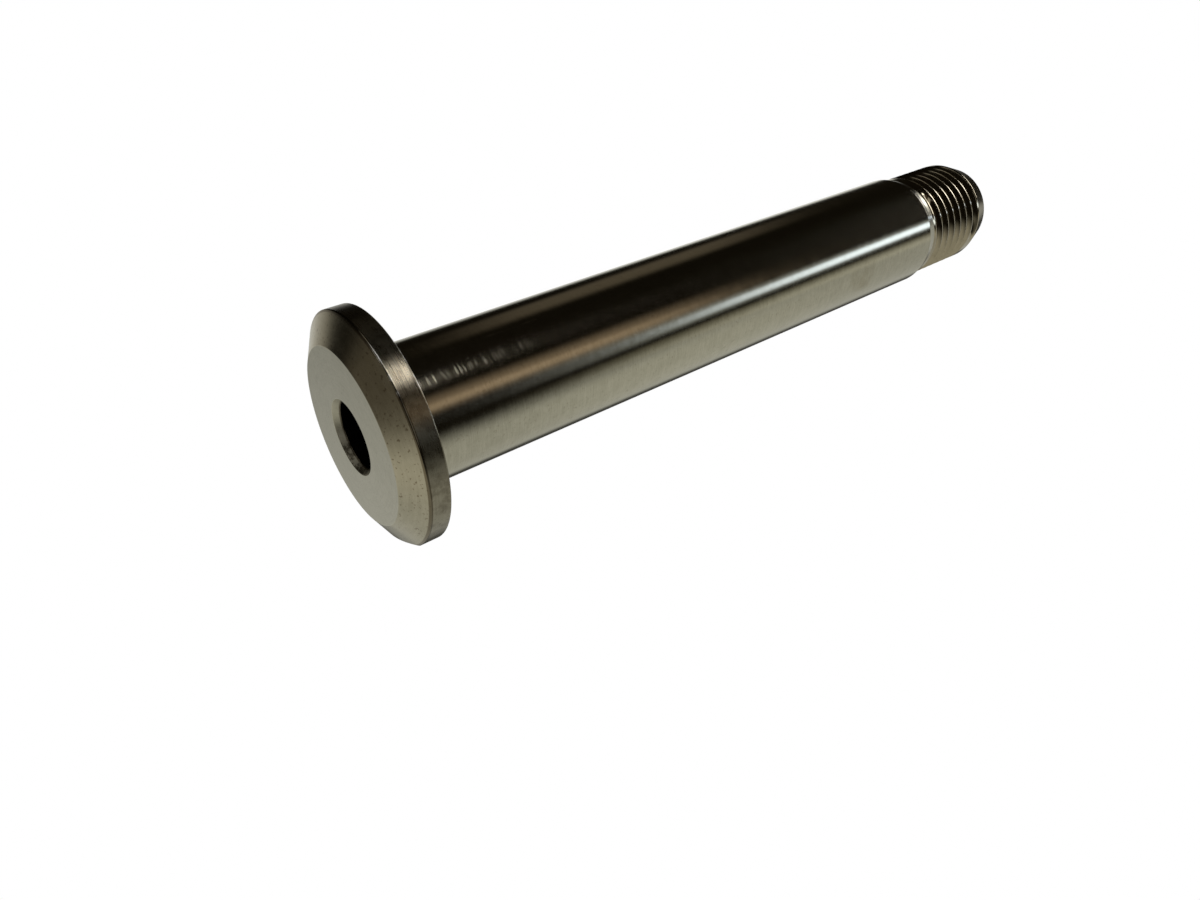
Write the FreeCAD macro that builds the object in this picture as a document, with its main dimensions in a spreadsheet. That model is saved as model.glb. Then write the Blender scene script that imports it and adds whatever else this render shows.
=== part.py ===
import FreeCAD, Part
import os
import Sketcher

# Control arm pin, turned from one piece of steel. Its axis is Z: the head's face is the lowest
# surface, the shoulder under the head lies at height 0, and the threaded end points up.
SIZES = {
    "rim_diameter": 58.4,
    "rim_width": 5.1,
    "rim_edge_radius": 0.4,
    "face_diameter": 44.0,
    "face_cone_length": 4.05,
    "flat_depth": 1.7,
    "shank_diameter": 35.0,
    "shank_length": 188.6,
    "lead_cone_length": 3.5,
    "thread_diameter": 33.0,
    "thread_length": 26.1,
    "thread_pitch": 3.5,
    "thread_depth": 2.1,
    "thread_crest_width": 0.5,
    "thread_root_width": 0.7,
    "thread_run_in": 2.5,
    "thread_start_azimuth": 135.0,
    "tip_cone_length": 7.2,
    "tip_diameter": 28.0,
    "bore_diameter": 17.0,
    "bore_mouth_diameter": 18.9,
    "bore_mouth_depth": 1.7,
    "bore_depth": 40.0,
    "drill_point_angle": 118.0,
}

# Heights, depths and distances that follow from the sizes above
DERIVED = {
    "head_length": "=rim_width + face_cone_length",
    "flat_distance": "=rim_diameter / 2 - flat_depth",
    "thread_start": "=shank_length + lead_cone_length",
    "tip_cone_start": "=thread_start + thread_length",
    "tip_height": "=tip_cone_start + tip_cone_length",
    "groove_inner_radius": "=thread_diameter / 2 - thread_depth",
    "groove_outer_radius": "=thread_diameter / 2 + thread_crest_width",
    "groove_slope": "=(thread_pitch - thread_crest_width - thread_root_width) / 2 / thread_depth",
    "groove_mouth": "=thread_root_width + 2 * groove_slope * (thread_depth + thread_crest_width)",
    "groove_start": "=thread_start + thread_run_in",
    "groove_foot": "=groove_start - thread_root_width / 2",
    "groove_rise": "=thread_length - thread_run_in - thread_pitch / 2",
    "mouth_bottom_depth": "=head_length - bore_mouth_depth",
    "bore_top": "=bore_depth - head_length",
    "drill_point_top": "=bore_top + bore_diameter / 2 / tan(drill_point_angle / 2 * 1 deg)",
}

NODE = "control_arm_pin"
ORIGIN_POINT = (-1, 1)
HEIGHT_AXIS_ID = -2
RADIUS_AXIS_ID = -1


def make_sheet(doc):
    """Lists every size with its name, one row each."""
    sheet = doc.addObject("Spreadsheet::Sheet", "sizes")
    rows = {name: str(value) for name, value in SIZES.items()} | DERIVED
    for row, (name, content) in enumerate(rows.items(), start=1):
        sheet.set(f"A{row}", name)
        sheet.set(f"B{row}", content)
        sheet.setAlias(f"B{row}", name)
    doc.recompute()
    return sheet


def origin_plane(body, role):
    """Finds one of the body's own base planes."""
    return next(plane for plane in body.Origin.OriginFeatures if plane.Role == role)


def new_sketch(body, name, role):
    """Starts a sketch on one of the body's base planes."""
    sketch = body.newObject("Sketcher::SketchObject", name)
    sketch.AttachmentSupport = [(origin_plane(body, role), "")]
    sketch.MapMode = "FlatFace"
    return sketch


def tie(sketch, kind, first, second, expression, value):
    """Adds one dimension between two points and binds it to the sheet."""
    index = sketch.addConstraint(Sketcher.Constraint(kind, *first, *second, value))
    sketch.setExpression(f"Constraints[{index}]", expression)


def closed_outline(sketch, corners, sheet):
    """Draws straight lines between corners and ties each corner to the sheet.

    A corner is (radius, height): the name of a diameter, or None on the axis, and the name of a
    distance above the shoulder, with a minus sign where it lies below, or None at the shoulder.
    """
    points = []
    for diameter, height in corners:
        radius = sheet.get(diameter) / 2 if diameter else 0.0
        side = -1 if height and height.startswith("-") else 1
        rise = side * float(sheet.get(height.lstrip("-"))) if height else 0.0
        points.append(FreeCAD.Vector(radius, rise, 0))
    for start, end in zip(points, points[1:] + points[:1]):
        sketch.addGeometry(Part.LineSegment(start, end), False)
    count = len(points)
    for line in range(count):
        sketch.addConstraint(Sketcher.Constraint("Coincident", line, 2, (line + 1) % count, 1))
    for line, ((diameter, height), point) in enumerate(zip(corners, points)):
        corner = (line, 1)
        if diameter:
            tie(sketch, "DistanceX", ORIGIN_POINT, corner, f"sizes.{diameter} / 2", point.x)
        else:
            sketch.addConstraint(Sketcher.Constraint("PointOnObject", *corner, HEIGHT_AXIS_ID))
        if height is None:
            sketch.addConstraint(Sketcher.Constraint("PointOnObject", *corner, RADIUS_AXIS_ID))
        elif height.startswith("-"):
            tie(sketch, "DistanceY", corner, ORIGIN_POINT, f"sizes.{height[1:]}", -point.y)
        else:
            tie(sketch, "DistanceY", ORIGIN_POINT, corner, f"sizes.{height}", point.y)


def turn_blank(body, sheet):
    """Revolves half the pin's outline: head, shank, lead cone, threaded end and tip cone."""
    sketch = new_sketch(body, "blank_section", "XZ_Plane")
    closed_outline(sketch, [
        (None, "-head_length"),
        ("face_diameter", "-head_length"),
        ("rim_diameter", "-rim_width"),
        ("rim_diameter", None),
        ("shank_diameter", None),
        ("shank_diameter", "shank_length"),
        ("thread_diameter", "thread_start"),
        ("thread_diameter", "tip_cone_start"),
        ("tip_diameter", "tip_height"),
        (None, "tip_height"),
    ], sheet)
    blank = body.newObject("PartDesign::Revolution", "turned_blank")
    blank.Profile = sketch
    blank.ReferenceAxis = (sketch, ["V_Axis"])
    blank.Angle = 360
    return blank


def round_rim(body, blank, sheet):
    """Breaks the two edges of the rim with a small radius."""
    rim_radius = sheet.rim_diameter / 2
    slack = sheet.rim_edge_radius / 10
    edges = [
        f"Edge{number}"
        for number, edge in enumerate(blank.Shape.Edges, start=1)
        if isinstance(edge.Curve, Part.Circle) and abs(edge.Curve.Radius - rim_radius) < slack
    ]
    rounded = body.newObject("PartDesign::Fillet", "rim_edges")
    rounded.Base = (blank, edges)
    rounded.setExpression("Radius", "sizes.rim_edge_radius")
    return rounded


def cut_thread(body, sheet):
    """Cuts the right-hand thread as one groove that winds up the threaded end."""
    sketch = new_sketch(body, "thread_groove", "XZ_Plane")
    sketch.AttachmentOffset = FreeCAD.Placement(
        FreeCAD.Vector(), FreeCAD.Rotation(FreeCAD.Vector(0, 1, 0), sheet.thread_start_azimuth)
    )
    sketch.setExpression(".AttachmentOffset.Rotation.Angle", "sizes.thread_start_azimuth * 1 deg")
    inner, outer = sheet.groove_inner_radius, sheet.groove_outer_radius
    middle, mouth, root = sheet.groove_start, sheet.groove_mouth, sheet.thread_root_width
    corners = [
        (inner, middle - root / 2),
        (outer, middle - mouth / 2),
        (outer, middle + mouth / 2),
        (inner, middle + root / 2),
    ]
    points = [FreeCAD.Vector(radius, height, 0) for radius, height in corners]
    for start, end in zip(points, points[1:] + points[:1]):
        sketch.addGeometry(Part.LineSegment(start, end), False)
    for line in range(4):
        sketch.addConstraint(Sketcher.Constraint("Coincident", line, 2, (line + 1) % 4, 1))
    lower_flank, mouth_line, upper_flank, root_line = range(4)
    for line in (mouth_line, root_line):
        sketch.addConstraint(Sketcher.Constraint("Vertical", line))
    sketch.addConstraint(Sketcher.Constraint("Equal", lower_flank, upper_flank))
    tie(sketch, "DistanceX", ORIGIN_POINT, (lower_flank, 1), "sizes.groove_inner_radius", inner)
    tie(sketch, "DistanceX", ORIGIN_POINT, (mouth_line, 1), "sizes.groove_outer_radius", outer)
    tie(sketch, "DistanceY", (mouth_line, 1), (mouth_line, 2), "sizes.groove_mouth", mouth)
    tie(sketch, "DistanceY", (lower_flank, 1), (upper_flank, 2), "sizes.thread_root_width", root)
    tie(sketch, "DistanceY", ORIGIN_POINT, (lower_flank, 1), "sizes.groove_foot", middle - root / 2)
    thread = body.newObject("PartDesign::SubtractiveHelix", "thread")
    thread.Profile = sketch
    thread.ReferenceAxis = (sketch, ["V_Axis"])
    thread.Mode = "pitch-height-angle"
    thread.setExpression("Pitch", "sizes.thread_pitch")
    thread.setExpression("Height", "sizes.groove_rise")
    return thread


def drill_bore(body, sheet):
    """Cuts the blind hole in the head, with its countersunk mouth and drill point."""
    sketch = new_sketch(body, "bore_section", "XZ_Plane")
    closed_outline(sketch, [
        (None, "-head_length"),
        ("bore_mouth_diameter", "-head_length"),
        ("bore_diameter", "-mouth_bottom_depth"),
        ("bore_diameter", "bore_top"),
        (None, "drill_point_top"),
    ], sheet)
    bore = body.newObject("PartDesign::Groove", "bore")
    bore.Profile = sketch
    bore.ReferenceAxis = (sketch, ["V_Axis"])
    bore.Angle = 360
    return bore


def cut_flat(body, sheet):
    """Cuts the flat on the head's rim that keeps the pin from turning."""
    sketch = new_sketch(body, "flat_outline", "XY_Plane")
    half_width = sheet.rim_diameter / 2
    near = -sheet.flat_distance
    far = -sheet.rim_diameter
    corners = [(-half_width, near), (half_width, near), (half_width, far), (-half_width, far)]
    points = [FreeCAD.Vector(x, y, 0) for x, y in corners]
    for start, end in zip(points, points[1:] + points[:1]):
        sketch.addGeometry(Part.LineSegment(start, end), False)
    for line in range(4):
        sketch.addConstraint(Sketcher.Constraint("Coincident", line, 2, (line + 1) % 4, 1))
    near_line, right_line, far_line, left_line = range(4)
    sketch.addConstraint(Sketcher.Constraint("Horizontal", far_line))
    for line in (right_line, left_line):
        sketch.addConstraint(Sketcher.Constraint("Vertical", line))
    sketch.addConstraint(Sketcher.Constraint("Symmetric", near_line, 1, near_line, 2, HEIGHT_AXIS_ID))
    tie(sketch, "DistanceX", (near_line, 1), (near_line, 2), "sizes.rim_diameter", 2 * half_width)
    tie(sketch, "DistanceY", (near_line, 1), ORIGIN_POINT, "sizes.flat_distance", -near)
    tie(sketch, "DistanceY", (far_line, 1), ORIGIN_POINT, "sizes.rim_diameter", -far)
    flat = body.newObject("PartDesign::Pocket", "head_flat")
    flat.Profile = sketch
    flat.Type = "Length"
    flat.setExpression("Length", "sizes.head_length")
    return flat


def check_cut(before, after):
    """Stops if a cut took nothing away."""
    if after.Shape.Volume >= before.Shape.Volume:
        raise RuntimeError(f"{after.Name} cuts nothing")


def check_document(doc, body):
    """Stops if any object failed or the finished shape is not one valid solid."""
    for item in doc.Objects:
        if "Invalid" in item.State or "Error" in item.State:
            raise RuntimeError(f"{item.Name} failed: {item.State}")
    shape = body.Shape
    if shape.isNull() or not shape.isValid() or len(shape.Solids) != 1:
        raise RuntimeError(f"{body.Label} is not one valid solid")


def main():
    doc = FreeCAD.newDocument("pin")
    sheet = make_sheet(doc)
    body = doc.addObject("PartDesign::Body", NODE)
    body.Label = NODE
    body.Placement = FreeCAD.Placement()
    blank = turn_blank(body, sheet)
    doc.recompute()
    rounded = round_rim(body, blank, sheet)
    doc.recompute()
    thread = cut_thread(body, sheet)
    doc.recompute()
    bore = drill_bore(body, sheet)
    doc.recompute()
    flat = cut_flat(body, sheet)
    doc.recompute()
    check_cut(blank, rounded)
    check_cut(rounded, thread)
    check_cut(thread, bore)
    check_cut(bore, flat)
    check_document(doc, body)
    os.makedirs("parts", exist_ok=True)
    body.Shape.exportStep(f"parts/{body.Label}.step")


main()
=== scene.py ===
"""A control arm pin: a turned steel pin with a flat-sided head, a countersunk bore and a threaded end.

It stands on its head in the shared frame, with the head's shoulder at z = 0 and the thread at the top.
Lengths are named in millimetres and turned into metres where they are used.
"""
from collections import namedtuple
import math

import bmesh
import bpy
from mathutils import Euler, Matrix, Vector


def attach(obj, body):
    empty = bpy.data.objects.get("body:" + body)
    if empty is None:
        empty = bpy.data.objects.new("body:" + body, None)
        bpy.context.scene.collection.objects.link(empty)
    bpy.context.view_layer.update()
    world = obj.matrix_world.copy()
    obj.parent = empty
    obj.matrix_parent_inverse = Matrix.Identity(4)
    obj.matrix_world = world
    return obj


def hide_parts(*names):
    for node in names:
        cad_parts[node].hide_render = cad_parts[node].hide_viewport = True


NODE = "control_arm_pin"
BODY = "root"
MM = 0.001

# The turned outline, the same sizes as the solid's.
RIM_RADIUS = 29.2
RIM_WIDTH = 5.1
FACE_RADIUS = 22.0
FACE_BOTTOM = -9.15
FLAT_DISTANCE = 27.5
SHANK_RADIUS = 17.5
SHANK_TOP = 188.6
THREAD_RADIUS = 16.5
THREAD_BOTTOM = 192.1
THREAD_TOP = 218.2
TIP_RADIUS = 14.0
TIP_TOP = 225.4
BORE_RADIUS = 8.5
BORE_TOP = 30.85
BORE_APEX = 35.957
MOUTH_RADIUS = 9.45
MOUTH_TOP = -7.45

# How round each turned corner is.
RIM_ROUND = 0.4
FINE_ROUND = 0.15
SHANK_END_ROUND = 0.3
TIP_ROUND = 0.35
ROUND_STEPS = 5
AROUND = 320
# Rings this near a corner keep the shading of the long runs flat.
GUARD = 0.06

# The thread is one right-hand groove. It starts at an azimuth and a height, and fades in and out over part
# of a turn. A crest lies an offset, as a share of the pitch, below the groove's middle. A form pairs a
# distance from a crest, as a share of the pitch, with a height, as a share of the depth. Spare turns past
# each end are pressed onto it and merge there.
PITCH = 3.5
THREAD_DEPTH = 2.1
GROOVE_AZIMUTH = 135.0
GROOVE_START = 194.6
GROOVE_TURNS = 6.243
CREST_OFFSET = 0.5
SPARE_TURNS_BELOW = 2
SPARE_TURNS_ABOVE = 1
FADE_TURNS = 0.08
FORM_BELOW = ((0.06, 1.0), (0.082, 0.965), (0.24, 0.48), (0.385, 0.05), (0.42, 0.0))
FORM_ABOVE = ((0.0, 0.975), (0.08, 0.942), (0.098, 0.90), (0.24, 0.48), (0.385, 0.05), (0.42, 0.0))
FULL_TURN = 360.0
# Edges that turn by more than this, in degrees, are shaded sharp.
SHARP_ANGLE = 28.0
# How near two points are when they merge, and how near the flat one has to be to lie on it, in metres.
MERGE_DISTANCE = 1e-6
CUT_TOLERANCE = 1e-7

# The camera, worked out from the photograph. Its place and its nearest distance are in metres, its turns
# in degrees, its lens and its sensor in millimetres.
CAMERA_PLACE = (-0.19755, 0.04241, -0.06761)
CAMERA_TURN = (144.291, -51.548, -157.124)
CAMERA_LENS = 26.482
SENSOR_WIDTH = 36.0
CAMERA_CLIP = 0.001


def corner_arc(before, corner, after, radius):
    """The points of a rounded corner between two straight runs of an outline."""
    here = Vector(corner)
    to_before = (Vector(before) - here).normalized()
    to_after = (Vector(after) - here).normalized()
    half = to_before.angle(to_after) / 2
    reach = radius / math.tan(half)
    middle = here + (to_before + to_after).normalized() * radius / math.sin(half)
    start = here + to_before * reach - middle
    end = here + to_after * reach - middle
    turn = start.angle(end)
    points = [tuple(here + to_before * (reach + GUARD))]
    for step in range(ROUND_STEPS + 1):
        share = step / ROUND_STEPS
        mixed = (start * math.sin((1 - share) * turn) + end * math.sin(share * turn)) / math.sin(turn)
        points.append(tuple(middle + mixed))
    points.append(tuple(here + to_after * (reach + GUARD)))
    return points


def guard_point(corner, towards):
    """A point just beside an unrounded corner."""
    here = Vector(corner)
    return (*(here + (Vector(towards) - here).normalized() * GUARD), 0.0)


def rounded_outline(corners):
    """An outline of (radius, height) points from corners of (radius, height, rounding)."""
    points = []
    for index, (radius, height, rounding) in enumerate(corners):
        if rounding:
            before = corners[index - 1][:2]
            after = corners[index + 1][:2]
            points.extend(corner_arc(before, (radius, height), after, rounding))
        else:
            points.append((radius, height))
    return points


def lower_outline():
    """From the bottom of the bore out over the head and up the shank to the start of the thread."""
    return rounded_outline((
        (0.0, BORE_APEX, 0.0),
        (BORE_RADIUS, BORE_TOP, FINE_ROUND),
        (BORE_RADIUS, MOUTH_TOP, FINE_ROUND),
        (MOUTH_RADIUS, FACE_BOTTOM, FINE_ROUND),
        (FACE_RADIUS, FACE_BOTTOM, RIM_ROUND),
        (RIM_RADIUS, -RIM_WIDTH, RIM_ROUND),
        (RIM_RADIUS, 0.0, RIM_ROUND),
        (SHANK_RADIUS, 0.0, RIM_ROUND),
        (SHANK_RADIUS, SHANK_TOP, SHANK_END_ROUND),
        guard_point((THREAD_RADIUS, THREAD_BOTTOM), (SHANK_RADIUS, SHANK_TOP)),
        (THREAD_RADIUS, THREAD_BOTTOM, 0.0),
    ))


def upper_outline():
    """From the end of the thread over the tip cone to the middle of the tip's face."""
    return rounded_outline((
        (THREAD_RADIUS, THREAD_TOP, 0.0),
        guard_point((THREAD_RADIUS, THREAD_TOP), (TIP_RADIUS, TIP_TOP)),
        (TIP_RADIUS, TIP_TOP, TIP_ROUND),
        (0.0, TIP_TOP, 0.0),
    ))


def add_ring(mesh, radius, height):
    """One ring of vertices, or a single one on the axis."""
    if radius == 0.0:
        return [mesh.verts.new((0.0, 0.0, height * MM))]
    ring = []
    for index in range(AROUND):
        angle = math.tau * index / AROUND
        place = (radius * math.cos(angle) * MM, radius * math.sin(angle) * MM, height * MM)
        ring.append(mesh.verts.new(place))
    return ring


def join_rings(mesh, lower, upper):
    """Faces between two rings that follow each other along the outline."""
    for index in range(AROUND):
        after = (index + 1) % AROUND
        if len(lower) == 1:
            mesh.faces.new((lower[0], upper[after], upper[index]))
        elif len(upper) == 1:
            mesh.faces.new((lower[index], lower[after], upper[0]))
        else:
            mesh.faces.new((lower[index], lower[after], upper[after], upper[index]))


def add_turned(mesh, outline):
    """A turned surface over the whole outline."""
    rings = [add_ring(mesh, radius, height) for radius, height in outline]
    for lower, upper in zip(rings, rings[1:]):
        join_rings(mesh, lower, upper)


def thread_rows():
    """Heights along one pitch with the share of the depth that stands there, from root to root."""
    rows = [(-share * PITCH, depth) for share, depth in reversed(FORM_BELOW)]
    return rows + [(share * PITCH, depth) for share, depth in FORM_ABOVE]


def eased(share):
    """A share from 0 to 1 that starts and ends level."""
    held = min(1.0, max(0.0, share))
    return held * held * (3.0 - 2.0 * held)


def fade(groove_height):
    """How deep the groove is where its middle stands at a height, as a share of its full depth."""
    turns = (groove_height - GROOVE_START) / PITCH
    return eased(min(turns, GROOVE_TURNS - turns) / FADE_TURNS)


def thread_spots(rows):
    """The thread's rows at azimuth zero: the height, the groove's middle and the share of the depth."""
    first_crest = GROOVE_START - PITCH * (GROOVE_AZIMUTH / FULL_TURN + CREST_OFFSET)
    turns_below = math.ceil((first_crest - THREAD_BOTTOM) / PITCH) + SPARE_TURNS_BELOW
    turns_above = math.ceil((THREAD_TOP - first_crest) / PITCH) + SPARE_TURNS_ABOVE
    spots = []
    for turn in range(-turns_below, turns_above + 1):
        crest = first_crest + turn * PITCH
        for offset, level in rows:
            groove = crest + math.copysign(PITCH * CREST_OFFSET, offset)
            spots.append((crest + offset, groove, level))
    return spots


def thread_column(mesh, spots, share):
    """One column of the thread's vertices, at a share of the way round and of the pitch upwards."""
    angle = math.tau * share
    column = []
    for spot, groove, level in spots:
        height = min(THREAD_TOP, max(THREAD_BOTTOM, spot + PITCH * share))
        radius = THREAD_RADIUS - THREAD_DEPTH * (1.0 - level) * fade(groove + PITCH * share)
        place = (radius * math.cos(angle) * MM, radius * math.sin(angle) * MM, height * MM)
        column.append(mesh.verts.new(place))
    return column


def add_thread(mesh):
    """The threaded band, with its last column joined to the first one a pitch higher up."""
    rows = thread_rows()
    spots = thread_spots(rows)
    columns = [thread_column(mesh, spots, index / AROUND) for index in range(AROUND)]
    for index, column in enumerate(columns):
        wraps = index == AROUND - 1
        beside = columns[0] if wraps else columns[index + 1]
        shift = len(rows) if wraps else 0
        for row in range(len(column) - 1 - shift):
            mesh.faces.new((column[row], beside[row + shift], beside[row + shift + 1], column[row + 1]))


def cut_flat(mesh):
    """Cuts the flat off the head's rim and closes the cut."""
    everything = mesh.verts[:] + mesh.edges[:] + mesh.faces[:]
    cut = bmesh.ops.bisect_plane(
        mesh, geom=everything, dist=CUT_TOLERANCE, plane_co=(0.0, -FLAT_DISTANCE * MM, 0.0),
        plane_no=(0.0, -1.0, 0.0), clear_outer=True,
    )
    edges = [part for part in cut["geom_cut"] if isinstance(part, bmesh.types.BMEdge)]
    bmesh.ops.contextual_create(mesh, geom=edges)


def build_pin():
    """The whole pin as one mesh."""
    mesh = bmesh.new()
    add_turned(mesh, lower_outline())
    add_thread(mesh)
    add_turned(mesh, upper_outline())
    bmesh.ops.remove_doubles(mesh, verts=mesh.verts[:], dist=MERGE_DISTANCE)
    bmesh.ops.dissolve_degenerate(mesh, edges=mesh.edges[:], dist=MERGE_DISTANCE)
    cut_flat(mesh)
    bmesh.ops.recalc_face_normals(mesh, faces=mesh.faces[:])
    data = bpy.data.meshes.new("pin_body")
    mesh.to_mesh(data)
    mesh.free()
    data.polygons.foreach_set("use_smooth", [True] * len(data.polygons))
    data.set_sharp_from_angle(angle=math.radians(SHARP_ANGLE))
    pin = bpy.data.objects.new("pin_body", data)
    bpy.context.scene.collection.objects.link(pin)
    return pin


def add_camera():
    """The camera at the photograph's place and angle."""
    data = bpy.data.cameras.new("camera")
    data.lens = CAMERA_LENS
    data.sensor_width = SENSOR_WIDTH
    data.clip_start = CAMERA_CLIP
    camera = bpy.data.objects.new("camera", data)
    camera.location = CAMERA_PLACE
    camera.rotation_euler = Euler([math.radians(turn) for turn in CAMERA_TURN], "XYZ")
    bpy.context.scene.collection.objects.link(camera)
    bpy.context.scene.camera = camera


def socket_or_value(tree, socket, value):
    """Links a socket, or sets a plain value."""
    if isinstance(value, bpy.types.NodeSocket):
        tree.links.new(value, socket)
    elif value is not None:
        socket.default_value = value


def maths(tree, operation, first, second=None):
    """A Math node's result."""
    made = tree.nodes.new("ShaderNodeMath")
    made.operation = operation
    for socket, value in zip(made.inputs, (first, second)):
        socket_or_value(tree, socket, value)
    return made.outputs[0]


def times(tree, *values):
    """The product of several values."""
    total = values[0]
    for value in values[1:]:
        total = maths(tree, "MULTIPLY", total, value)
    return total


def vector_maths(tree, operation, first, second=None, scale=None):
    """A Vector Math node's result."""
    made = tree.nodes.new("ShaderNodeVectorMath")
    made.operation = operation
    socket_or_value(tree, made.inputs[0], first)
    if second is not None:
        socket_or_value(tree, made.inputs[1], second)
    if scale is not None:
        socket_or_value(tree, made.inputs["Scale"], scale)
    return made.outputs["Value"] if operation == "LENGTH" else made.outputs["Vector"]


def smooth_step(tree, value, low, high, at_low=0.0, at_high=1.0):
    """A smooth change from at_low to at_high while value goes from low to high."""
    made = tree.nodes.new("ShaderNodeMapRange")
    made.interpolation_type = "SMOOTHSTEP"
    for name, given in (
        ("Value", value), ("From Min", low), ("From Max", high), ("To Min", at_low), ("To Max", at_high),
    ):
        socket_or_value(tree, made.inputs[name], given)
    return made.outputs["Result"]


def window(tree, value, low, high, soft):
    """One between low and high, falling to nothing over the soft width at each side."""
    rise = smooth_step(tree, value, low - soft, low)
    fall = smooth_step(tree, value, high, high + soft, 1.0, 0.0)
    return maths(tree, "MULTIPLY", rise, fall)


def mix_colour(tree, share, first, second, blend="MIX"):
    """A colour mixed from two, by share."""
    made = tree.nodes.new("ShaderNodeMix")
    made.data_type = "RGBA"
    made.blend_type = blend
    socket_or_value(tree, made.inputs["Factor"], share)
    colours = [socket for socket in made.inputs if socket.type == "RGBA"]
    for socket, given in zip(colours, (first, second)):
        socket_or_value(tree, socket, given)
    return [socket for socket in made.outputs if socket.type == "RGBA"][0]


def split_axes(tree, vector):
    """The x, y and z of a vector."""
    split = tree.nodes.new("ShaderNodeSeparateXYZ")
    tree.links.new(vector, split.inputs[0])
    return split.outputs[0], split.outputs[1], split.outputs[2]


def joined_axes(tree, x, y, z):
    """A vector from its x, y and z."""
    made = tree.nodes.new("ShaderNodeCombineXYZ")
    for socket, value in zip(made.inputs, (x, y, z)):
        socket_or_value(tree, socket, value)
    return made.outputs[0]


def degrees_from(tree, x, y, centre):
    """The angle round the axis from a centre azimuth, from -180 to 180 degrees."""
    cosine = math.cos(math.radians(centre))
    sine = math.sin(math.radians(centre))
    along = maths(tree, "ADD", times(tree, x, cosine), times(tree, y, sine))
    across = maths(tree, "SUBTRACT", times(tree, y, cosine), times(tree, x, sine))
    return maths(tree, "DEGREES", maths(tree, "ARCTAN2", across, along))


# The studio round the pin, in metres. Azimuths are degrees round the pin's axis and polars are degrees
# from straight up.
SHELL_RADIUS = 3.0
SHELL_CENTRE_HEIGHT = 0.11
SHELL_BANDS = 48
# Each patch: azimuth centre, half width, softness; polar low, high, softness; colour; strength.
PATCHES = {
    "window_low": (187.0, 2.2, 6.2, -60.0, 36.0, 21.0, (0.67, 0.79, 1.0), 3.6),
    "window_glow": (186.0, 5.0, 10.0, -60.0, 46.0, 24.0, (0.96, 1.0, 0.98), 0.40),
    "pole_light": (118.0, 46.0, 9.0, 10.0, 19.0, 4.0, (1.0, 0.98, 0.94), 5.0),
    "table_rise": (213.0, 4.0, 9.0, 30.0, 52.0, 14.0, (1.0, 0.94, 0.70), 0.19),
    "warm_wall": (166.0, 0.0, 20.0, 56.0, 72.0, 10.0, (1.0, 0.76, 0.54), 0.38),
    "warm_core": (170.0, 1.0, 8.0, 56.0, 72.0, 10.0, (1.0, 0.78, 0.57), 0.27),
    "table_sheen": (262.0, 18.0, 22.0, 46.0, 58.0, 8.0, (1.0, 0.98, 0.78), 0.07),
    "warm_strip": (61.0, 6.0, 16.0, 50.0, 61.0, 9.0, (1.0, 0.83, 0.62), 0.145),
    "rim_lamp": (132.0, 4.5, 5.0, 79.0, 85.0, 4.0, (1.0, 0.94, 0.88), 4.6),
    "far_table": (330.0, 75.0, 25.0, 150.0, 220.0, 20.0, (1.0, 0.88, 0.70), 0.14),
    "top_edge": (8.0, 8.0, 10.0, 36.0, 80.0, 10.0, (1.0, 1.0, 0.95), 0.28),
    "table_edge": (355.0, 9.0, 8.0, 74.0, 90.0, 8.0, (1.0, 0.98, 0.88), 0.06),
    "table_corner": (9.0, 5.0, 9.0, 92.0, 116.0, 8.0, (1.0, 0.95, 0.82), 0.34),
    "back_left": (176.0, 14.0, 10.0, 98.0, 122.0, 9.0, (0.82, 0.81, 0.79), 0.85),
    "back_right": (110.0, 24.0, 12.0, 98.0, 115.0, 8.0, (0.82, 0.81, 0.79), 0.85),
}
ROOM_COLOUR = (0.010, 0.008, 0.005)
TABLE_COLOUR = (0.655, 0.66, 0.61)
TABLE_UP = (-0.446, 0.893, -0.05)
# How far past its horizon the table reaches full light: near the tip, near the head, below the head's
# level and along the floor.
TABLE_REACH_TIP = 0.16
TABLE_REACH_HEAD = 0.62
TABLE_REACH_FACE = 0.80
TABLE_REACH_FLOOR = 0.40
# The polars between which the reach changes, and those up to which the table is a little dimmer.
REACH_HEAD_POLARS = (34.0, 76.0)
REACH_FACE_POLARS = (76.0, 96.0)
REACH_FLOOR_POLARS = (110.0, 150.0)
DIM_POLARS = (34.0, 56.0)
DIM_NEAR_TIP = 0.90
# The pin's own shadows on the table. Azimuths count from each one's middle, and three numbers are low,
# high and softness.
SHADOW_MIDDLE = 330.0
SHADOW_RISE = (-30.0, -12.0)
SHADOW_FALL = (2.0, 24.0)
SHADOW_POLARS = (0.0, 84.0, 14.0)
TIP_SHADOW_WINDOW = (0.0, 60.0, 20.0)
TIP_SHADOW_POLARS = (0.0, 28.0, 8.0)
PIN_SHADOW = 0.92
HEAD_SHADOW_MIDDLE = 325.0
HEAD_SHADOW_WINDOW = (-22.0, 22.0, 12.0)
HEAD_SHADOW_POLARS = (78.0, 96.0, 8.0)
HEAD_SHADOW = 0.45


def add_shell():
    """A large shell round the pin, seen only in its reflections: a pale table side and a dim room side."""
    mesh = bmesh.new()
    bmesh.ops.create_uvsphere(mesh, u_segments=SHELL_BANDS * 2, v_segments=SHELL_BANDS, radius=SHELL_RADIUS)
    data = bpy.data.meshes.new("studio_shell")
    mesh.to_mesh(data)
    mesh.free()
    shell = bpy.data.objects.new("studio_shell", data)
    shell.location = (0.0, 0.0, SHELL_CENTRE_HEIGHT)
    bpy.context.scene.collection.objects.link(shell)
    shell.visible_camera = False
    shell.visible_diffuse = False
    shell.visible_transmission = False
    shell.visible_volume_scatter = False
    shell.visible_shadow = False
    data.materials.append(shell_material())


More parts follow.
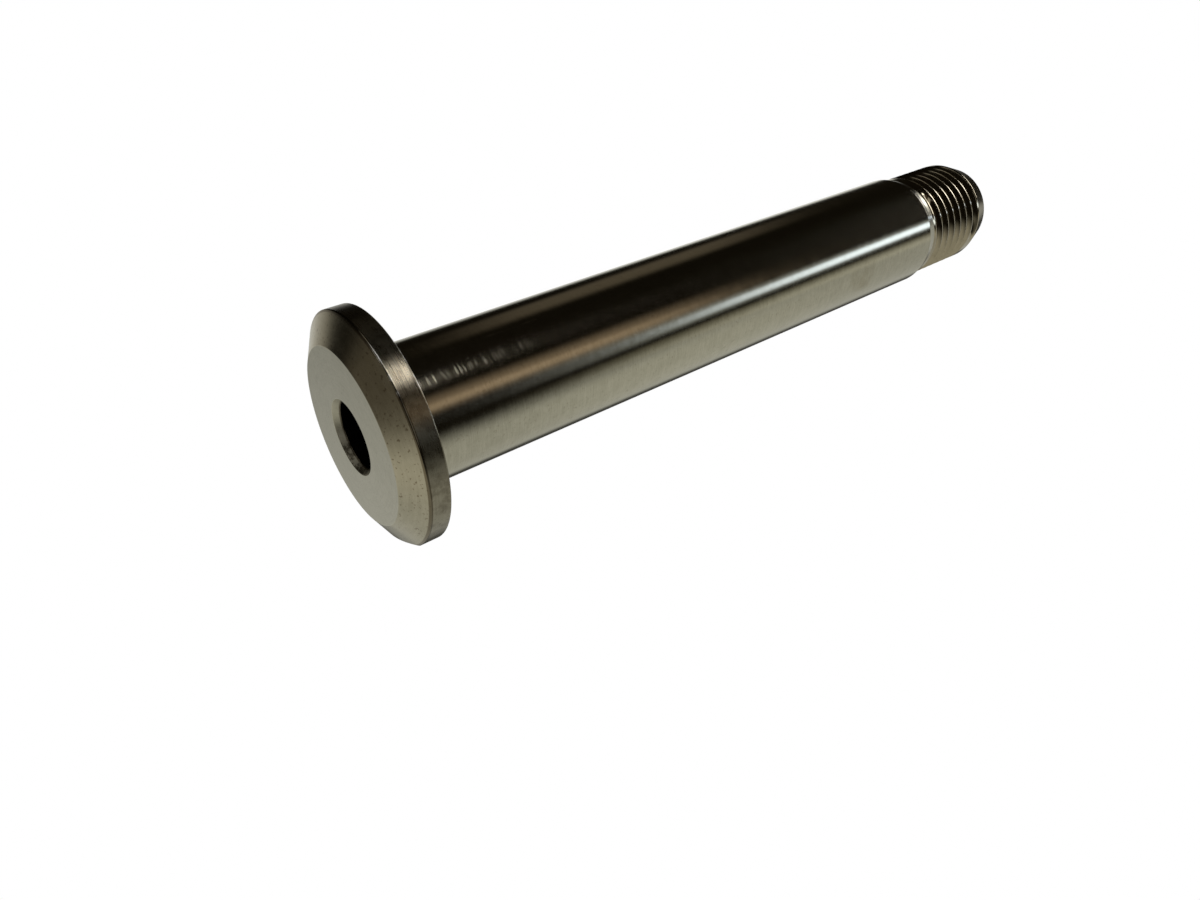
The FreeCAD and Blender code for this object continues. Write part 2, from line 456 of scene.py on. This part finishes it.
def pin_shadow(tree, x, y, polar):
    """How much of the table's light the pin keeps off: along itself, near its tip and beside its head."""
    under = degrees_from(tree, x, y, SHADOW_MIDDLE)
    rise = smooth_step(tree, under, *SHADOW_RISE)
    fall = smooth_step(tree, under, *SHADOW_FALL, 1.0, 0.0)
    along = times(tree, rise, fall, window(tree, polar, *SHADOW_POLARS), PIN_SHADOW)
    near_tip = window(tree, polar, *TIP_SHADOW_POLARS)
    tip = times(tree, window(tree, under, *TIP_SHADOW_WINDOW), near_tip, PIN_SHADOW)
    beside = degrees_from(tree, x, y, HEAD_SHADOW_MIDDLE)
    near_head = window(tree, polar, *HEAD_SHADOW_POLARS)
    head = times(tree, window(tree, beside, *HEAD_SHADOW_WINDOW), near_head, HEAD_SHADOW)
    return maths(tree, "MAXIMUM", maths(tree, "MAXIMUM", along, tip), head)


def table_reach(tree, polar):
    """How far past its horizon the table reaches full light, by polar."""
    reach = smooth_step(tree, polar, *REACH_HEAD_POLARS, TABLE_REACH_TIP, TABLE_REACH_HEAD)
    more = smooth_step(tree, polar, *REACH_FACE_POLARS, 0.0, TABLE_REACH_FACE - TABLE_REACH_HEAD)
    most = smooth_step(tree, polar, *REACH_FLOOR_POLARS, TABLE_REACH_FACE, TABLE_REACH_FLOOR)
    return maths(tree, "MINIMUM", maths(tree, "ADD", reach, more), most)


def table_light(tree, direction, polar):
    """The table's side of the shell: light past its horizon, with the pin's own shadow on it."""
    x, y, z = split_axes(tree, direction)
    rise = maths(tree, "ADD", times(tree, x, TABLE_UP[0]), times(tree, y, TABLE_UP[1]))
    rise = maths(tree, "ADD", rise, times(tree, z, TABLE_UP[2]))
    depth = maths(tree, "MULTIPLY", rise, -1.0)
    table = smooth_step(tree, depth, 0.0, table_reach(tree, polar))
    dimming = smooth_step(tree, polar, *DIM_POLARS, DIM_NEAR_TIP, 1.0)
    lit = maths(tree, "SUBTRACT", 1.0, pin_shadow(tree, x, y, polar))
    return times(tree, table, dimming, lit)


def shell_material():
    """The shell's light by direction: the table, the room and the few patches of light in it."""
    material = bpy.data.materials.new("studio_shell")
    material.use_nodes = True
    tree = material.node_tree
    tree.nodes.clear()
    place = tree.nodes.new("ShaderNodeTexCoord").outputs["Object"]
    direction = vector_maths(tree, "NORMALIZE", place)
    x, y, z = split_axes(tree, direction)
    polar = maths(tree, "DEGREES", maths(tree, "ARCCOSINE", z))
    total = vector_maths(tree, "SCALE", TABLE_COLOUR, scale=table_light(tree, direction, polar))
    total = vector_maths(tree, "ADD", total, ROOM_COLOUR)
    for centre, half, soft, low, high, fade_width, colour, strength in PATCHES.values():
        away = degrees_from(tree, x, y, centre)
        across = window(tree, away, -half, half, soft)
        share = times(tree, across, window(tree, polar, low, high, fade_width), strength)
        light = vector_maths(tree, "SCALE", colour, scale=share)
        total = vector_maths(tree, "ADD", total, light)
    glow = tree.nodes.new("ShaderNodeEmission")
    tree.links.new(total, glow.inputs["Color"])
    out = tree.nodes.new("ShaderNodeOutputMaterial")
    tree.links.new(glow.outputs[0], out.inputs["Surface"])
    return material


# The floor and the lights. Lengths are in metres, and the lamp's power is in watts.
WHITE = (1.0, 1.0, 1.0, 1.0)
WORLD_LEVEL = 0.8
FLOOR_RADIUS = 0.9
FLOOR_FADE = 0.35
FLOOR_GAP = 0.05
FLOOR_COLOUR = (0.86, 0.86, 0.85, 1.0)
FLOOR_PALE = (0.88, 0.88, 0.87, 1.0)
FLOOR_GRAIN_SCALE = 60.0
FLOOR_RINGS = 12
FLOOR_AROUND = 96
KEY_PLACE = (0.45, -0.55, 1.1)
KEY_SIZE = 0.7
KEY_POWER = 9.0


def add_world():
    """A plain world: white where it is seen or reflected, and a plain level of light for the rest."""
    world = bpy.data.worlds.new("studio")
    bpy.context.scene.world = world
    world.use_nodes = True
    tree = world.node_tree
    tree.nodes.clear()
    path = tree.nodes.new("ShaderNodeLightPath")
    seen = maths(tree, "MAXIMUM", path.outputs["Is Camera Ray"], path.outputs["Is Glossy Ray"])
    seen = maths(tree, "MAXIMUM", seen, path.outputs["Is Transmission Ray"])
    level = smooth_step(tree, seen, 0.0, 1.0, WORLD_LEVEL, 1.0)
    light = tree.nodes.new("ShaderNodeBackground")
    light.inputs["Color"].default_value = WHITE
    tree.links.new(level, light.inputs["Strength"])
    out = tree.nodes.new("ShaderNodeOutputWorld")
    tree.links.new(light.outputs[0], out.inputs["Surface"])


def floor_material():
    """A matt pale floor, clear from below and fading out into the white towards its edge."""
    material = bpy.data.materials.new("pale_floor")
    material.use_nodes = True
    tree = material.node_tree
    tree.nodes.clear()
    place = tree.nodes.new("ShaderNodeTexCoord").outputs["Object"]
    far = vector_maths(tree, "LENGTH", place)
    clear = smooth_step(tree, far, FLOOR_FADE, FLOOR_RADIUS)
    grain = tree.nodes.new("ShaderNodeTexNoise")
    grain.inputs["Scale"].default_value = FLOOR_GRAIN_SCALE
    tree.links.new(place, grain.inputs["Vector"])
    colour = mix_colour(tree, grain.outputs[0], FLOOR_COLOUR, FLOOR_PALE)
    paint = tree.nodes.new("ShaderNodeBsdfDiffuse")
    tree.links.new(colour, paint.inputs["Color"])
    hidden = maths(tree, "MAXIMUM", clear, tree.nodes.new("ShaderNodeNewGeometry").outputs["Backfacing"])
    glass = tree.nodes.new("ShaderNodeBsdfTransparent")
    mixed = tree.nodes.new("ShaderNodeMixShader")
    tree.links.new(hidden, mixed.inputs[0])
    tree.links.new(paint.outputs[0], mixed.inputs[1])
    tree.links.new(glass.outputs[0], mixed.inputs[2])
    out = tree.nodes.new("ShaderNodeOutputMaterial")
    tree.links.new(mixed.outputs[0], out.inputs["Surface"])
    return material


def floor_mesh():
    """A round sheet of rings, facing up."""
    mesh = bmesh.new()
    rings = []
    for step in range(1, FLOOR_RINGS + 1):
        radius = FLOOR_RADIUS * step / FLOOR_RINGS
        circle = bmesh.ops.create_circle(mesh, segments=FLOOR_AROUND, radius=radius)
        rings.append(circle["verts"])
    mesh.faces.new(rings[0])
    for inner, outer in zip(rings, rings[1:]):
        for index in range(len(inner)):
            after = (index + 1) % len(inner)
            mesh.faces.new((inner[index], outer[index], outer[after], inner[after]))
    bmesh.ops.recalc_face_normals(mesh, faces=mesh.faces[:])
    data = bpy.data.meshes.new("floor")
    mesh.to_mesh(data)
    mesh.free()
    if data.polygons[0].normal.z < 0.0:
        data.flip_normals()
    return data


def add_floor():
    """The floor that the pin stands on. It is seen and shaded, and lights nothing."""
    data = floor_mesh()
    floor = bpy.data.objects.new("floor", data)
    floor.location = (0.0, 0.0, (FACE_BOTTOM - FLOOR_GAP) * MM)
    bpy.context.scene.collection.objects.link(floor)
    floor.visible_glossy = False
    floor.visible_diffuse = False
    floor.visible_transmission = False
    floor.visible_shadow = False
    data.materials.append(floor_material())


def add_key():
    """A soft lamp that gives the floor its shadow and isn't seen in the metal."""
    lamp = bpy.data.lights.new("key", "AREA")
    lamp.size = KEY_SIZE
    lamp.energy = KEY_POWER
    key = bpy.data.objects.new("key", lamp)
    key.location = KEY_PLACE
    key.rotation_euler = (-Vector(KEY_PLACE)).to_track_quat("-Z", "Y").to_euler()
    key.visible_glossy = False
    bpy.context.scene.collection.objects.link(key)


# The steel's own colours, its colour for the painted highlight on the rim, its colour for wear marks and
# painted edge highlights, and the tones that multiply them, among them painted shade and painted light.
STEEL_PALE = (0.395, 0.375, 0.300, 1.0)
STEEL_DEEP = (0.325, 0.308, 0.240, 1.0)
RIM_TONE = (0.62, 0.60, 0.57, 1.0)
# Painted highlight: the rim's colour where the lamp's reflection falls.
RIM_HIGHLIGHT_STEEL = (0.93, 0.86, 0.68, 1.0)
RIM_MOTTLE_TONE = (0.70, 0.68, 0.66, 1.0)
CONE_TONE = (0.93, 0.90, 0.84, 1.0)
THREAD_TONE = (0.86, 0.79, 0.69, 1.0)
# Painted shade on the lead cone.
LEAD_PAINTED_SHADE_TONE = (0.12, 0.11, 0.10, 1.0)
# Painted shade in the hole.
BORE_PAINTED_SHADE_TONE = (0.30, 0.27, 0.24, 1.0)
# Painted light: the countersink's reflection brightened.
MOUTH_PAINTED_LIGHT_TONE = (1.3, 1.3, 1.3, 1.0)
MOUTH_WEAR_TONE = (0.40, 0.38, 0.35, 1.0)
# A faint dark patch on the shank.
DARK_PATCH_TONE = (0.78, 0.74, 0.66, 1.0)
SPECK_TONE = (0.46, 0.39, 0.32, 1.0)
# A darker line along the rim's front edge.
FRONT_EDGE_DARK = (0.42, 0.38, 0.33, 1.0)
# Used for wear marks and for the painted highlights on the rim's edges.
WORN_AND_HIGHLIGHT_STEEL = (0.92, 0.91, 0.87, 1.0)
# Lines round the axis: scale round it, scale along the outline, detail, fineness.
FINE_LINES = (3.0, 3400.0, 3.0, 0.75)
BROAD_LINES = (1.2, 420.0, 2.0, 0.5)
RIM_LINES = (2.0, 3600.0, 1.0, 0.5)
TICK_LINES = (1.8, 1500.0, 0.0, 0.5)
# Clouds: scale, detail, fineness.
MOTTLE = (420.0, 5.0, 0.65)
DARK_PATCH_CLOUD = (70.0, 3.0, 0.5)
SPECK_CLOUD = (1300.0, 1.0, 0.5)
SCRATCH_CLOUD = (330.0, 2.0, 0.5)
EDGE_HIGHLIGHT_CLOUD = (240.0, 3.0, 0.5)
WEAR_CLOUD = (620.0, 3.0, 0.6)
RIM_CLOUD = (300.0, 4.0, 0.6)
# Where each noise begins and ends to count.
GRAIN_EDGES = (0.34, 0.66)
RIM_LINE_EDGES = (0.35, 0.65)
DARK_PATCH_EDGES = (0.34, 0.56)
SPECK_EDGES = (0.64, 0.72)
TICK_EDGES = (0.48, 0.70)
SCRATCH_EDGES = (0.46, 0.60)
EDGE_HIGHLIGHT_EDGES = (0.40, 0.55)
WEAR_EDGES = (0.44, 0.56)
RIM_CLOUD_EDGES = (0.42, 0.62)
# Bands in millimetres, of radius and of height: low, high, softness.
RIM_RADII = (28.9, 40.0, 0.5)
RIM_HEIGHTS = (-4.9, 0.05, 0.15)
CONE_RADII = (22.2, 40.0, 0.2)
CONE_HEIGHTS = (-9.1, -5.2, 0.05)
FRONT_EDGE_RADII = (28.75, 40.0, 0.25)
FRONT_EDGE_HEIGHTS = (-5.45, -4.75, 0.1)
# Where the painted highlights on the rim's edges lie.
EDGE_HIGHLIGHT_RADII = (28.95, 30.0, 0.1)
REAR_HIGHLIGHT_HEIGHTS = (-0.30, 0.10, 0.08)
FRONT_HIGHLIGHT_HEIGHTS = (-5.3, -4.85, 0.08)
MOUTH_RADII = (8.6, 9.44, 0.1)
MOUTH_HEIGHTS = (-9.1, -7.45, 0.05)
BORE_RADII = (-1.0, 8.7, 0.3)
BORE_HEIGHTS = (-7.6, 40.0, 0.3)
LEAD_HEIGHTS = (189.0, 189.9, 0.35)
THREAD_HEIGHTS = (192.5, 240.0, 1.0)
TIP_HEIGHTS = (218.6, 240.0, 0.6)
DARK_PATCH_HEIGHTS = (149.5, 157.5, 4.0)
TICK_HEIGHTS = (3.0, 30.0, 12.0)
SCRATCH_HEIGHTS = (9.0, 40.0, 3.0)
SMOOTH_END_HEIGHTS = (189.0, 240.0, 1.0)
# Sectors in degrees round the axis: centre, half width, softness.
RIM_HIGHLIGHT_SECTOR = (150.5, 4.0, 7.0)
UNDARKENED_EDGE_SECTOR = (148.0, 6.0, 6.0)
DARK_PATCH_SECTOR = (207.0, 9.0, 9.0)
TICK_SECTOR = (147.0, 3.0, 6.0)
SCRATCH_SECTOR = (130.6, 0.2, 0.4)
EDGE_HIGHLIGHT_SECTOR = (147.0, 10.0, 6.0)
WEAR_SECTOR = (305.0, 30.0, 14.0)
LEAD_SECTOR = (120.0, 38.0, 22.0)
# Shares of each kind of grain and mark.
FINE_SHARE = 0.50
BROAD_SHARE = 0.12
MOTTLE_SHARE = 0.38
DARK_PATCH_SHARE = 0.9
SPECK_SHARE = 0.24
SPECK_SHARE_CONE = 0.55
MARK_SHARE = 0.22
RIM_HIGHLIGHT_LEAST = 0.5
# Roughness of the ground shank, and what each part and mark adds to it.
STEEL_ROUGHNESS = 0.12
GRAIN_ROUGHNESS = 0.05
RIM_ROUGHNESS = 0.14
CONE_ROUGHNESS = 0.08
MOUTH_ROUGHNESS = 0.35
MARK_ROUGHNESS = 0.14
THREAD_ROUGHNESS = -0.03
TIP_ROUGHNESS = -0.06
# The turned lines spread a reflection along the axis and keep it narrow round it.
BRUSHED = 0.60
BRUSHED_TURN = 0.25
# The depth of the bump is in metres. The relief of the marks and the mottle counts against the lines'.
BUMP_STRENGTH = 0.30
BUMP_DEPTH = 0.00002
MARK_RELIEF = 1.5
MOTTLE_RELIEF = 0.35
SMOOTH_END_SHARE = 0.92

Turned = namedtuple("Turned", "tree place axes radius")


def turned_place(tree):
    """A point on the pin: its place, its x, y and z, and its distance from the axis."""
    place = tree.nodes.new("ShaderNodeTexCoord").outputs["Object"]
    axes = split_axes(tree, place)
    radius = vector_maths(tree, "LENGTH", joined_axes(tree, axes[0], axes[1], 0.0))
    return Turned(tree, place, axes, radius)


def noise(tree, vector, scale, detail, fineness):
    """A Noise Texture's value, from 0 to 1."""
    made = tree.nodes.new("ShaderNodeTexNoise")
    made.inputs["Scale"].default_value = scale
    made.inputs["Detail"].default_value = detail
    made.inputs["Roughness"].default_value = fineness
    tree.links.new(vector, made.inputs["Vector"])
    return made.outputs[0]


def lathe_lines(work, kind):
    """Noise drawn out round the axis, with one part of its vector running along the turned outline."""
    round_scale, line_scale, detail, fineness = kind
    tree = work.tree
    outward = vector_maths(tree, "NORMALIZE", joined_axes(tree, work.axes[0], work.axes[1], 0.0))
    x, y, _ = split_axes(tree, outward)
    along = maths(tree, "SUBTRACT", work.axes[2], work.radius)
    parts = (times(tree, x, round_scale), times(tree, y, round_scale), times(tree, along, line_scale))
    return noise(tree, joined_axes(tree, *parts), 1.0, detail, fineness)


def cloud(work, kind):
    """Noise with the same scale in every direction."""
    return noise(work.tree, work.place, *kind)


def shaped(work, value, edges):
    """A noise's value made into a share between its two edges."""
    return smooth_step(work.tree, value, edges[0], edges[1])


def heights(work, band):
    """One between two heights."""
    low, high, soft = band
    return window(work.tree, work.axes[2], low * MM, high * MM, soft * MM)


def radii(work, band):
    """One between two radii."""
    low, high, soft = band
    return window(work.tree, work.radius, low * MM, high * MM, soft * MM)


def sector(work, band):
    """One within half a width of an azimuth."""
    centre, half, soft = band
    away = degrees_from(work.tree, work.axes[0], work.axes[1], centre)
    return window(work.tree, away, -half, half, soft)


def dyed(work, colour, share, tone):
    """A colour multiplied by a tone where its share is one."""
    return mix_colour(work.tree, share, colour, tone, "MULTIPLY")


def grain(work):
    """The lines left by turning and grinding, and the soft mottle over them."""
    fine = times(work.tree, lathe_lines(work, FINE_LINES), FINE_SHARE)
    broad = times(work.tree, lathe_lines(work, BROAD_LINES), BROAD_SHARE)
    return maths(work.tree, "ADD", fine, broad), cloud(work, MOTTLE)


def rim_zone(work):
    """The rim, left as turned."""
    return times(work.tree, radii(work, RIM_RADII), heights(work, RIM_HEIGHTS))


def cone_zone(work):
    """The head's cone."""
    return times(work.tree, radii(work, CONE_RADII), heights(work, CONE_HEIGHTS))


def mouth_zone(work):
    """The countersink round the hole."""
    return times(work.tree, radii(work, MOUTH_RADII), heights(work, MOUTH_HEIGHTS))


def bore_zone(work):
    """The hole's wall."""
    return times(work.tree, radii(work, BORE_RADII), heights(work, BORE_HEIGHTS))


def rim_painted_highlight(work):
    """A painted highlight on the rim: its colour brightened in the sector where the lamp's reflection
    falls, with the turning lines left in it.
    """
    lines = shaped(work, lathe_lines(work, RIM_LINES), RIM_LINE_EDGES)
    kept = smooth_step(work.tree, lines, 0.0, 1.0, RIM_HIGHLIGHT_LEAST, 1.0)
    return times(work.tree, rim_zone(work), sector(work, RIM_HIGHLIGHT_SECTOR), kept)


def faint_dark_patch(work):
    """A faint dark patch on the shank near the threaded end."""
    shape = shaped(work, cloud(work, DARK_PATCH_CLOUD), DARK_PATCH_EDGES)
    return times(work.tree, heights(work, DARK_PATCH_HEIGHTS), sector(work, DARK_PATCH_SECTOR), shape, DARK_PATCH_SHARE)


def lead_painted_shade(work):
    """Painted shade on one side of the lead cone, darkening its reflection there."""
    return times(work.tree, heights(work, LEAD_HEIGHTS), sector(work, LEAD_SECTOR))


def dark_specks(work):
    """Small dark specks, most of them on the cone."""
    specks = shaped(work, cloud(work, SPECK_CLOUD), SPECK_EDGES)
    share = maths(work.tree, "ADD", times(work.tree, cone_zone(work), SPECK_SHARE_CONE), SPECK_SHARE)
    return times(work.tree, specks, share)


def bright_marks(work):
    """Ticks round the axis and a long scratch beside the head."""
    ticks = times(work.tree, shaped(work, lathe_lines(work, TICK_LINES), TICK_EDGES),
                  heights(work, TICK_HEIGHTS), sector(work, TICK_SECTOR))
    scratch = times(work.tree, shaped(work, cloud(work, SCRATCH_CLOUD), SCRATCH_EDGES),
                    heights(work, SCRATCH_HEIGHTS), sector(work, SCRATCH_SECTOR))
    return maths(work.tree, "MAXIMUM", ticks, scratch)


def painted_edge_highlights(work):
    """Painted highlights along the rim's two edges, broken into patches by a cloud."""
    both = maths(work.tree, "MAXIMUM", heights(work, REAR_HIGHLIGHT_HEIGHTS), heights(work, FRONT_HIGHLIGHT_HEIGHTS))
    shape = shaped(work, cloud(work, EDGE_HIGHLIGHT_CLOUD), EDGE_HIGHLIGHT_EDGES)
    return times(work.tree, radii(work, EDGE_HIGHLIGHT_RADII), sector(work, EDGE_HIGHLIGHT_SECTOR), both, shape)


def dark_front_edge(work):
    """A darker line along the rim's front edge, left out in one sector."""
    edge = times(work.tree, radii(work, FRONT_EDGE_RADII), heights(work, FRONT_EDGE_HEIGHTS))
    return times(work.tree, edge, maths(work.tree, "SUBTRACT", 1.0, sector(work, UNDARKENED_EDGE_SECTOR)))


def mouth_wear(work):
    """Dark marks in one side of the countersink."""
    shape = shaped(work, cloud(work, WEAR_CLOUD), WEAR_EDGES)
    return times(work.tree, mouth_zone(work), sector(work, WEAR_SECTOR), shape)


def steel_colour(work, share, worn_and_highlight):
    """The steel's colour: pale and deep lines, each part's tone, a painted highlight on the rim, painted
    shade on the lead cone, a dark patch, specks, a darker front edge, wear marks, painted edge highlights,
    painted shade in the hole and painted light on the countersink.
    """
    colour = mix_colour(work.tree, share, STEEL_DEEP, STEEL_PALE)
    colour = dyed(work, colour, rim_zone(work), RIM_TONE)
    mottled = times(work.tree, rim_zone(work), shaped(work, cloud(work, RIM_CLOUD), RIM_CLOUD_EDGES))
    # Painted highlight on the rim.
    colour = mix_colour(work.tree, rim_painted_highlight(work), colour, RIM_HIGHLIGHT_STEEL)
    colour = dyed(work, colour, mottled, RIM_MOTTLE_TONE)
    colour = dyed(work, colour, cone_zone(work), CONE_TONE)
    colour = dyed(work, colour, heights(work, THREAD_HEIGHTS), THREAD_TONE)
    # Painted shade on the lead cone.
    colour = dyed(work, colour, lead_painted_shade(work), LEAD_PAINTED_SHADE_TONE)
    colour = dyed(work, colour, faint_dark_patch(work), DARK_PATCH_TONE)
    colour = dyed(work, colour, dark_specks(work), SPECK_TONE)
    colour = dyed(work, colour, dark_front_edge(work), FRONT_EDGE_DARK)
    colour = mix_colour(work.tree, worn_and_highlight, colour, WORN_AND_HIGHLIGHT_STEEL)
    # Painted shade in the hole.
    colour = dyed(work, colour, bore_zone(work), BORE_PAINTED_SHADE_TONE)
    # Painted light on the countersink.
    colour = dyed(work, colour, mouth_zone(work), MOUTH_PAINTED_LIGHT_TONE)
    return dyed(work, colour, mouth_wear(work), MOUTH_WEAR_TONE)


def steel_roughness(work, share, worn_and_highlight):
    """The steel's roughness: ground smooth on the shank, duller where it is only turned or cut, on wear
    marks and on the painted edge highlights.
    """
    rough = maths(work.tree, "ADD", times(work.tree, share, GRAIN_ROUGHNESS), STEEL_ROUGHNESS)
    parts = ((rim_zone(work), RIM_ROUGHNESS), (cone_zone(work), CONE_ROUGHNESS),
             (mouth_zone(work), MOUTH_ROUGHNESS), (heights(work, THREAD_HEIGHTS), THREAD_ROUGHNESS),
             (heights(work, TIP_HEIGHTS), TIP_ROUGHNESS), (worn_and_highlight, MARK_ROUGHNESS))
    for zone, added in parts:
        rough = maths(work.tree, "ADD", rough, times(work.tree, zone, added))
    return rough


def steel_relief(work, lines, mottle, marks):
    """The bump of the lines, the mottle and the marks, fainter on the threaded end."""
    relief = maths(work.tree, "ADD", lines, times(work.tree, mottle, MOTTLE_RELIEF))
    relief = maths(work.tree, "ADD", relief, times(work.tree, marks, MARK_RELIEF))
    lost = times(work.tree, heights(work, SMOOTH_END_HEIGHTS), SMOOTH_END_SHARE)
    relief = times(work.tree, relief, maths(work.tree, "SUBTRACT", 1.0, lost))
    bump = work.tree.nodes.new("ShaderNodeBump")
    bump.inputs["Strength"].default_value = BUMP_STRENGTH
    bump.inputs["Distance"].default_value = BUMP_DEPTH
    work.tree.links.new(relief, bump.inputs["Height"])
    return bump.outputs[0]


def turned_sheen(tree, shader):
    """A metal's sheen with its grain round the axis."""
    shader.inputs["Metallic"].default_value = 1.0
    shader.inputs["Anisotropic"].default_value = BRUSHED
    shader.inputs["Anisotropic Rotation"].default_value = BRUSHED_TURN
    tangent = tree.nodes.new("ShaderNodeTangent")
    tangent.direction_type = "RADIAL"
    tangent.axis = "Z"
    tree.links.new(tangent.outputs[0], shader.inputs["Tangent"])


def steel():
    """Turned steel: lines round the axis, a mottle, a dark patch, specks, ticks, a scratch, painted
    highlights on the rim and its edges, and painted shade on the lead cone and in the hole.
    """
    material = bpy.data.materials.new("turned_steel")
    material.use_nodes = True
    tree = material.node_tree
    shader = tree.nodes["Principled BSDF"]
    work = turned_place(tree)
    lines, mottle = grain(work)
    total = maths(tree, "ADD", lines, times(tree, mottle, MOTTLE_SHARE))
    share = shaped(work, total, GRAIN_EDGES)
    marks = bright_marks(work)
    # Wear marks and the painted highlights on the rim's edges.
    worn_and_highlight = maths(tree, "MAXIMUM", times(tree, marks, MARK_SHARE), painted_edge_highlights(work))
    tree.links.new(steel_colour(work, share, worn_and_highlight), shader.inputs["Base Color"])
    tree.links.new(steel_roughness(work, share, worn_and_highlight), shader.inputs["Roughness"])
    tree.links.new(steel_relief(work, lines, mottle, marks), shader.inputs["Normal"])
    turned_sheen(tree, shader)
    return material


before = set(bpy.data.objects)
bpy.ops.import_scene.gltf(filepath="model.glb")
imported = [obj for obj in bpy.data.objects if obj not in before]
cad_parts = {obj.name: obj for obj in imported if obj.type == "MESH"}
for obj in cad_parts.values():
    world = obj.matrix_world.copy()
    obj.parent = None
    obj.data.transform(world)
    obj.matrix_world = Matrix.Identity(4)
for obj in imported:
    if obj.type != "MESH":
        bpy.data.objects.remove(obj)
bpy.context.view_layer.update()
add_camera()
pin = build_pin()
pin.data.materials.append(steel())
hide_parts(NODE)
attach(pin, BODY)
add_shell()
add_world()
add_floor()
add_key()
scene = bpy.context.scene
scene.view_settings.view_transform = "Standard"
